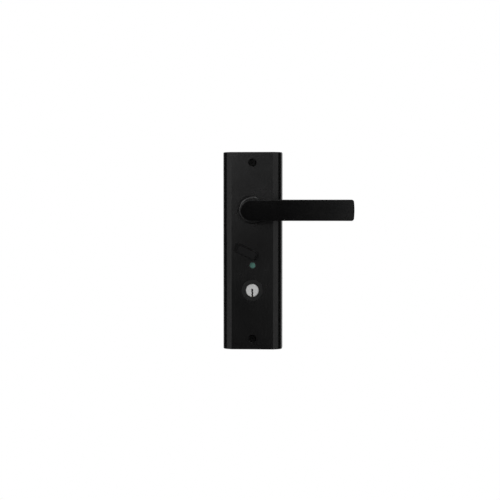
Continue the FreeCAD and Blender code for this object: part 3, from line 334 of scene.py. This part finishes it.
finishes = {
    "cover_paint": paint("cover_paint", (0.0018, 0.0018, 0.0019), 0.26),
    "lever_paint": paint("lever_paint", (0.0008, 0.0008, 0.0009), 0.20, specular=0.26),
    "thumb_turn_paint": paint("thumb_turn_paint", (0.0028, 0.0028, 0.0030), 0.50, specular=0.22),
    "collar_paint": paint("collar_paint", (0.0016, 0.0016, 0.0017), 0.24, specular=0.6),
    "black_plastic": moulded("black_plastic", (0.0035, 0.0035, 0.0036), 0.34),
    "nylon": moulded("nylon", (0.62, 0.60, 0.54), 0.42, 500.0, 0.1, 0.05),
    "black_nylon": moulded("black_nylon", (0.012, 0.012, 0.013), 0.42, 500.0, 0.1, 0.05),
    "gasket_rubber": moulded("gasket_rubber", (0.018, 0.018, 0.018), 0.75, 700.0, 0.5),
    "zinc_plate": metal("zinc_plate", (0.42, 0.43, 0.44), 0.38, (1.0, 1.0, 0.06)),
    "black_screws": paint("black_screws", (0.0008, 0.0008, 0.0008), 0.5, specular=0.12),
    "steel": metal("steel", (0.56, 0.57, 0.58), 0.30, (1.0, 0.08, 1.0)),
    "bolt_steel": metal("bolt_steel", (0.56, 0.57, 0.58), 0.30, threads=True),
    "spring_steel": metal("spring_steel", (0.40, 0.40, 0.41), 0.28, (0.2, 1.0, 1.0)),
    "hub_steel": metal("hub_steel", (0.42, 0.42, 0.43), 0.42),
    "magnet": metal("magnet", (0.68, 0.68, 0.70), 0.15),
    "nickel": metal("nickel", (0.74, 0.74, 0.735), 0.36, (1.0, 1.0, 1.0), 0.45, 0.05),
    "brass": metal("brass", (0.68, 0.50, 0.22), 0.32, (1.0, 0.1, 1.0)),
    "flag_base": moulded("flag_base", (0.62, 0.62, 0.60), 0.5),
    "flag_green": moulded("flag_green", (0.27, 0.88, 0.70), 0.45),
    "flag_red": moulded("flag_red", (0.75, 0.05, 0.04), 0.45),
    "lens": window("lens"),
    "board_green": circuit("board_green"),
    "chip_black": moulded("chip_black", (0.012, 0.012, 0.013), 0.5, 1500.0),
    "shield_tin": metal("shield_tin", (0.62, 0.62, 0.61), 0.34, (1.0, 1.0, 0.2)),
    "cell_wrap": cell_wrap("cell_wrap"),
    "foam": moulded("foam", (0.05, 0.05, 0.05), 0.9, 350.0, 0.9, 0.3),
    "lead_red": moulded("lead_red", (0.38, 0.02, 0.015), 0.4),
    "lead_black": moulded("lead_black", (0.012, 0.012, 0.012), 0.4),
}

# ---------------------------------------------------------------- finishes onto the pieces
slots = {entry["node"]: entry["material_slot"] for entry in frame["record"]["subparts"]}
slots["through_bolts"] = "bolt_steel"
slots["lever_collar"] = "collar_paint"
slots["lever_bush"] = "black_nylon"
slots["thumb_turn_bush"] = "black_nylon"
for name, piece in frame["nodes"].items():
    finish = finishes[slots[name]]
    if not piece.material_slots:
        piece.data.materials.append(finish)
    for held in piece.material_slots:
        held.material = finish


# ---------------------------------------------------------------- reflection cards
def curved_card(name, start, end, low, high, grey, radius=card_radius):
    """Card on a sphere of radius R round the target, seen in reflections only.

    x = tx + R cos(e) sin(a), y = ty - R cos(e) cos(a), z = tz + R sin(e),
    with a from start to end and e from low to high.
    """
    across = np.radians(np.linspace(start, end, card_columns + 1))
    upward = np.radians(np.linspace(low, high, card_rows + 1))
    a, e = np.meshgrid(across, upward)
    points = np.stack([target.x + radius * np.cos(e) * np.sin(a), target.y - radius * np.cos(e) * np.cos(a),
                       target.z + radius * np.sin(e)], axis=-1).reshape(-1, 3)
    row, column = np.meshgrid(np.arange(card_rows), np.arange(card_columns), indexing="ij")
    stride = card_columns + 1
    first = (row * stride + column).ravel()
    faces = np.stack([first, first + 1, first + stride + 1, first + stride], axis=-1)
    mesh = bpy.data.meshes.new(name)
    mesh.from_pydata(points.tolist(), [], faces.tolist())
    card = bpy.data.objects.new(name, mesh)
    scene.collection.objects.link(card)
    made = bpy.data.materials.new(name)
    made.use_nodes = True
    tree = made.node_tree
    tree.nodes.clear()
    glow = node(tree, "ShaderNodeEmission", {"Color": (grey, grey, grey, 1.0)})
    node(tree, "ShaderNodeOutputMaterial", {"Surface": glow.outputs[0]})
    mesh.materials.append(made)
    card.visible_camera = False
    card.visible_diffuse = False
    card.visible_shadow = False
    card.visible_transmission = False


curved_card("front_card", -front_card_half, front_card_half, card_low, card_high, card_grey)
curved_card("left_card", -left_card_end, -left_card_start, card_low, card_high, card_grey)
curved_card("right_card", right_card_start, right_card_end, card_low, card_high, card_grey)
curved_card("ceiling_card", -180.0, 180.0, ceiling_low, 90.0, card_grey)
curved_card("right_glow", glow_start, glow_end, glow_low, glow_high, glow_level, glow_radius)


# ---------------------------------------------------------------- lamps, world and camera
def area_lamp(name, place_at, size, power):
    """Square soft lamp that faces the target."""
    lamp = bpy.data.lights.new(name, "AREA")
    lamp.size = size
    lamp.energy = power
    holder = bpy.data.objects.new(name, lamp)
    holder.location = place_at
    holder.rotation_euler = (target - Vector(place_at)).to_track_quat("-Z", "Y").to_euler()
    scene.collection.objects.link(holder)


area_lamp("top_lamp", (0.15, -0.45, 1.1), 0.5, 2.5)
area_lamp("fill_lamp", (-0.5, -1.5, 0.4), 0.6, 4.0)

world = bpy.data.worlds.new("white_room")
scene.world = world
world.use_nodes = True
room = world.node_tree
room.nodes.clear()
path = node(room, "ShaderNodeLightPath")
seen = maths(room, "ADD", path.outputs["Is Camera Ray"], path.outputs["Is Glossy Ray"], True)
seen = maths(room, "ADD", seen, path.outputs["Is Transmission Ray"], True)
ambient = node(room, "ShaderNodeBackground", {"Color": (1.0, 1.0, 1.0, 1.0), "Strength": 0.7})
white = node(room, "ShaderNodeBackground", {"Color": (1.0, 1.0, 1.0, 1.0), "Strength": 1.0})
both = node(room, "ShaderNodeMixShader", {0: seen, 1: ambient.outputs[0], 2: white.outputs[0]})
node(room, "ShaderNodeOutputWorld", {"Surface": both.outputs[0]})

scene.view_settings.view_transform = "Standard"
lens_data = bpy.data.cameras.new("view")
lens_data.lens = camera_lens
lens_data.sensor_width = camera_sensor
camera = bpy.data.objects.new("view", lens_data)
turn, lift = math.radians(camera_azimuth), math.radians(camera_elevation)
back = Vector((math.sin(turn) * math.cos(lift), -math.cos(turn) * math.cos(lift), math.sin(lift)))
camera.location = target + camera_distance * back
camera.rotation_euler = (-back).to_track_quat("-Z", "Y").to_euler()
scene.collection.objects.link(camera)
scene.camera = camera
